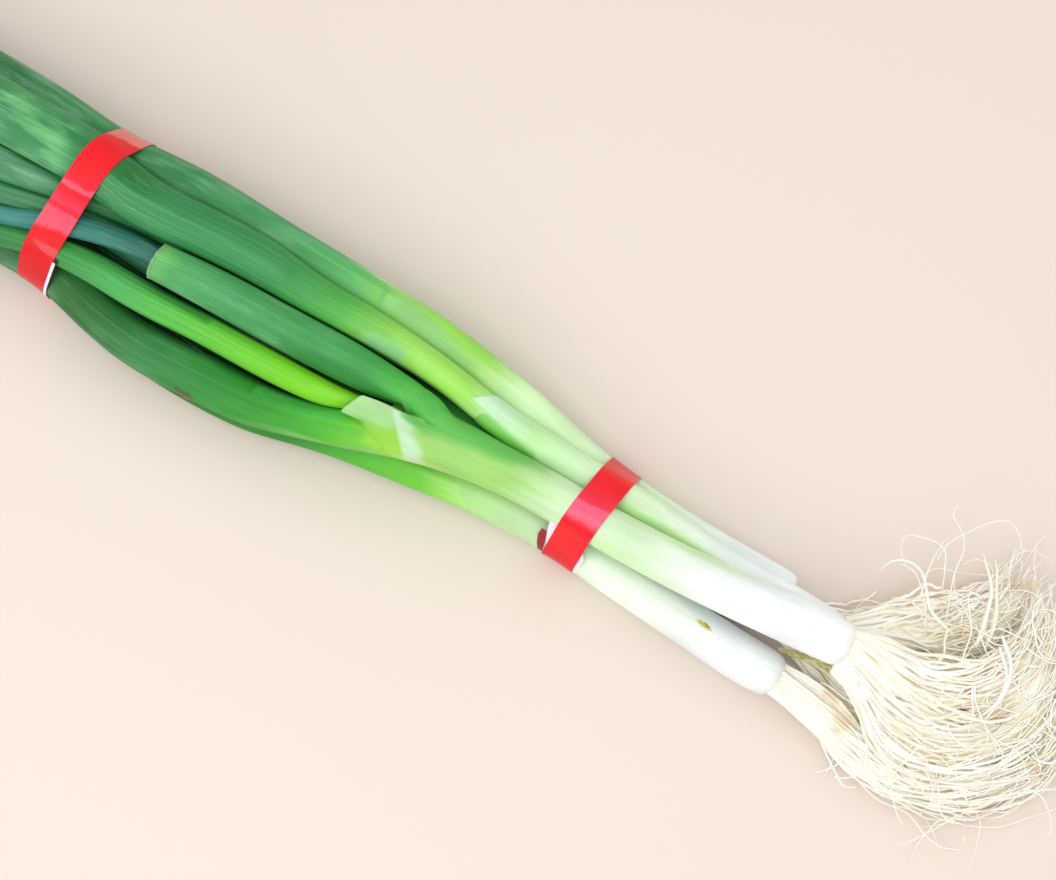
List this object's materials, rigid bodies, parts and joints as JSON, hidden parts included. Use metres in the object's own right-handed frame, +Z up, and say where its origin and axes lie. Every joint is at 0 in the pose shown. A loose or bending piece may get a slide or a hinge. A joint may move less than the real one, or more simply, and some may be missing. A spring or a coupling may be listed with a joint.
{
  "type": "spring onion bunch",
  "caption": "Bunch of fresh spring onions lying down: white stalks with rooty ends, tapering green tube leaves, held by two red tapes with white paper tabs.",
  "frame": {"origin": "middle of the underside of the whole bunch, on the surface that it lies on", "axes": "+X along the bunch towards the roots, +Y across it, +Z up from the surface"},
  "size_m": [0.598, 0.1084, 0.0422],
  "materials": {
    "stalk": "fresh moist skin, white at the roots, pale green to deep green along the blade",
    "leaf": "satin waxy leaf with fine lengthwise ribs",
    "roots": "matt cream strands",
    "tape": "glossy red film",
    "tab": "matt white backing"
  },
  "bodies": {
    "root": {"onion_a_stalk": "stalk", "onion_b_stalk": "stalk", "onion_c_stalk": "stalk", "onion_d_stalk": "stalk", "onion_e_stalk": "stalk", "onion_a_leaf_2": "leaf", "onion_b_leaf_2": "leaf", "onion_b_leaf_3": "leaf", "onion_c_leaf_2": "leaf", "onion_c_leaf_3": "leaf", "onion_d_leaf_2": "leaf", "onion_e_leaf_2": "leaf", "onion_e_leaf_3": "leaf", "onion_a_roots": "roots", "onion_b_roots": "roots", "onion_c_roots": "roots", "onion_d_roots": "roots", "onion_e_roots": "roots", "tape_lower": "tape", "tape_upper": "tape", "tab_lower": "tab", "tab_upper": "tab"}
  },
  "joints": []
}
